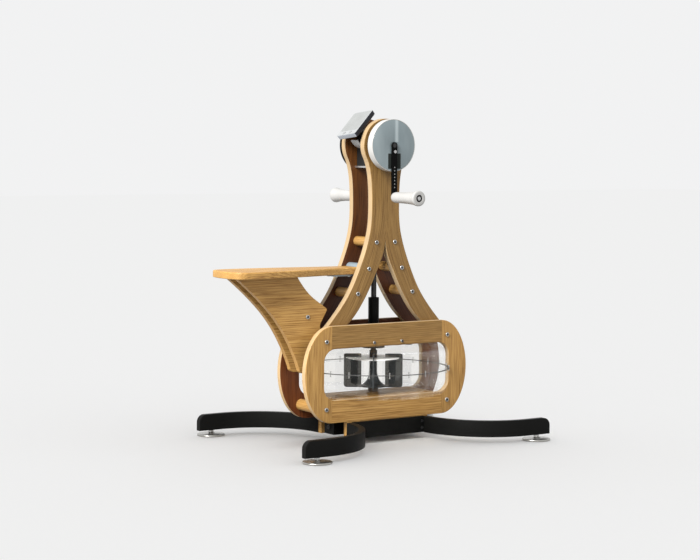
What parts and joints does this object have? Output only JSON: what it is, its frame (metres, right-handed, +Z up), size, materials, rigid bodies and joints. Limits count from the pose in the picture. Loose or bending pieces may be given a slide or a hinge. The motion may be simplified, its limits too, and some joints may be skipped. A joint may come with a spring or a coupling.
{
  "type": "arm crank rowing machine",
  "caption": "Wooden upright crank trainer with a water tank between ring frames, hand cranks on a shaft above, a bench seat and a curved base on disc feet.",
  "frame": {"origin": "point of the floor under the middle of the crankshaft, midway between the feet", "axes": "+X away from the seat along the machine, +Y to the back frame, +Z up"},
  "size_m": [1.13, 0.798, 1.1568],
  "materials": {
    "oak": "satin",
    "black_lacquer": "satin",
    "steel": "satin",
    "blue_steel": "satin",
    "black_metal": "satin",
    "clear_plastic": "clear gloss",
    "rubber": "matt",
    "black_plastic": "satin",
    "bronze": "satin",
    "aluminium": "satin",
    "white_plastic": "soft gloss",
    "glossy_disc": "high gloss",
    "grey_metal": "satin",
    "grey_screen": "gloss"
  },
  "bodies": {
    "frame": {"axle_bearings": "steel", "back_left_base_arm": "black_lacquer", "back_left_leg_board": "oak", "back_left_ring_end": "oak", "back_right_base_arm": "black_lacquer", "back_right_leg_board": "oak", "back_right_ring_end": "oak", "back_seat_wing": "oak", "base_beam": "black_lacquer", "base_cheeks": "oak", "base_planks": "black_lacquer", "base_screws": "black_metal", "frame_bolts": "steel", "frame_dowels": "oak", "front_left_base_arm": "black_lacquer", "front_left_leg_board": "oak", "front_left_ring_end": "oak", "front_right_base_arm": "black_lacquer", "front_right_leg_board": "oak", "front_right_ring_end": "oak", "front_seat_wing": "oak", "gearbox_base_plate": "aluminium", "gearbox_housing": "black_plastic", "monitor_bracket": "grey_metal", "monitor_shroud": "grey_metal", "ring_bottom_rails": "oak", "ring_top_rails": "oak", "seat_board": "oak", "seat_bolts": "steel", "seat_bracket": "blue_steel", "seat_spacers": "oak", "tank_bearings": "bronze", "tank_cradle": "oak", "tank_gasket": "rubber", "tank_lower_shell": "clear_plastic", "tank_screws": "steel", "tank_upper_shell": "clear_plastic"},
    "crank": {"crank_axle": "steel", "bevel_crown": "steel", "crank_drum": "white_plastic", "disc_face": "glossy_disc", "back_disc": "black_metal", "front_crank_arm": "black_metal", "back_crank_arm": "black_metal", "crank_bolts": "steel", "grip_pins": "steel"},
    "front_handle": {"front_grip": "white_plastic"},
    "back_handle": {"back_grip": "white_plastic"},
    "paddle_shaft": {"drive_shaft": "black_metal", "shaft_coupling": "black_metal", "bevel_pinion": "steel", "impeller": "black_plastic"},
    "monitor": {"monitor_case": "black_plastic", "monitor_screen": "grey_screen"},
    "button_1": {"monitor_button_1": "black_plastic"},
    "button_2": {"monitor_button_2": "black_plastic"},
    "filler_plug": {"tank_plug": "black_plastic"},
    "front_left_leveller": {"front_left_foot": "steel"},
    "front_right_leveller": {"front_right_foot": "steel"},
    "back_left_leveller": {"back_left_foot": "steel"},
    "back_right_leveller": {"back_right_foot": "steel"}
  },
  "joints": [
    {"name": "crank_spin", "type": "hinge", "parent": "frame", "child": "crank", "pos_m": [0, 0, 1.0344], "axis": [0, 1, 0], "continuous": true},
    {"name": "shaft_spin", "type": "hinge", "parent": "frame", "child": "paddle_shaft", "pos_m": [0, 0, 0.6], "axis": [0, 0, 1], "continuous": true},
    {"name": "front_grip_spin", "type": "hinge", "parent": "crank", "child": "front_handle", "pos_m": [0, -0.198, 0.8544], "axis": [0, 1, 0], "continuous": true},
    {"name": "back_grip_spin", "type": "hinge", "parent": "crank", "child": "back_handle", "pos_m": [0, 0.176, 0.8544], "axis": [0, 1, 0], "continuous": true},
    {"name": "monitor_tilt", "type": "hinge", "parent": "frame", "child": "monitor", "pos_m": [-0.06689, 0, 1.09175], "axis": [0, 1, 0], "range_deg": [-20, 10]},
    {"name": "button_1_press", "type": "slide", "parent": "monitor", "child": "button_1", "axis": [0.682, 0, -0.7314], "range_m": [0, 0.001], "stiffness_N_per_m": 200},
    {"name": "button_2_press", "type": "slide", "parent": "monitor", "child": "button_2", "axis": [0.682, 0, -0.7314], "range_m": [0, 0.001], "stiffness_N_per_m": 200},
    {"name": "plug_lift", "type": "slide", "parent": "frame", "child": "filler_plug", "axis": [0, 0, 1], "range_m": [0, 0.03]},
    {"name": "front_left_foot_turn", "type": "hinge", "parent": "frame", "child": "front_left_leveller", "pos_m": [-0.46, -0.349, 0.02], "axis": [0, 0, 1], "continuous": true},
    {"name": "front_right_foot_turn", "type": "hinge", "parent": "frame", "child": "front_right_leveller", "pos_m": [0.46, -0.349, 0.02], "axis": [0, 0, 1], "continuous": true},
    {"name": "back_left_foot_turn", "type": "hinge", "parent": "frame", "child": "back_left_leveller", "pos_m": [-0.46, 0.349, 0.02], "axis": [0, 0, 1], "continuous": true},
    {"name": "back_right_foot_turn", "type": "hinge", "parent": "frame", "child": "back_right_leveller", "pos_m": [0.46, 0.349, 0.02], "axis": [0, 0, 1], "continuous": true}
  ],
  "couplings": [
    {"joint": "shaft_spin", "follows": "crank_spin", "ratio": 2}
  ]
}
